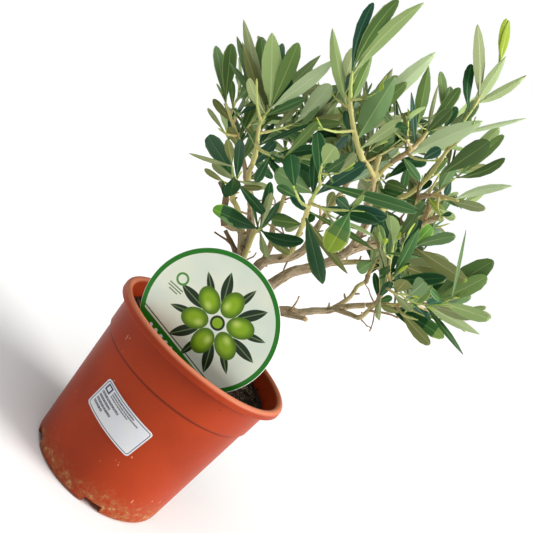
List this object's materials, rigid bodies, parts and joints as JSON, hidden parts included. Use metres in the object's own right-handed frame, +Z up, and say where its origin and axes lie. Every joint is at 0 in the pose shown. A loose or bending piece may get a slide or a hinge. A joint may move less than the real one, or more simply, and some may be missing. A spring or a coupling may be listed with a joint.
{
  "type": "potted olive tree",
  "caption": "Young branching olive tree in a terracotta-coloured plastic nursery pot, with a round picture card pushed into the peat and a blank sticker on the wall.",
  "frame": {"origin": "centre of the pot's flat underside", "axes": "+Z up the pot and the tree, -Y towards the side where the picture card stands, +X to the right of someone who faces the card"},
  "size_m": [0.2802, 0.3096, 0.4128],
  "materials": {
    "terracotta_plastic": "satin",
    "peat": "matte",
    "bark": "matte",
    "leaves": "satin",
    "card_stock": "satin",
    "sticker_paper": "matte"
  },
  "bodies": {
    "root": {"pot": "terracotta_plastic", "soil": "peat", "picture_card": "card_stock", "sticker": "sticker_paper", "trunk": "bark", "bough_back": "bark", "bough_back_left": "bark", "bough_centre": "bark", "bough_centre_front": "bark", "bough_front": "bark", "bough_left": "bark", "bough_left_up": "bark", "bough_low_left": "bark", "bough_right": "bark", "bough_right_back": "bark", "bough_right_front": "bark", "bough_right_up": "bark", "bough_tall": "bark", "bough_top": "bark", "bough_upper_centre": "bark", "bough_upper_left": "bark", "bough_upper_right": "bark", "foliage_back": "leaves", "foliage_back_centre": "leaves", "foliage_back_left": "leaves", "foliage_front": "leaves", "foliage_front_low": "leaves", "foliage_left": "leaves", "foliage_left_low": "leaves", "foliage_left_top": "leaves", "foliage_right": "leaves", "foliage_right_back": "leaves", "foliage_right_front": "leaves", "foliage_top": "leaves", "foliage_upper_centre": "leaves", "foliage_upper_left": "leaves", "foliage_upper_right": "leaves", "stub_left": "bark", "stub_right": "bark", "stub_up_a": "bark", "stub_up_b": "bark"}
  },
  "joints": []
}
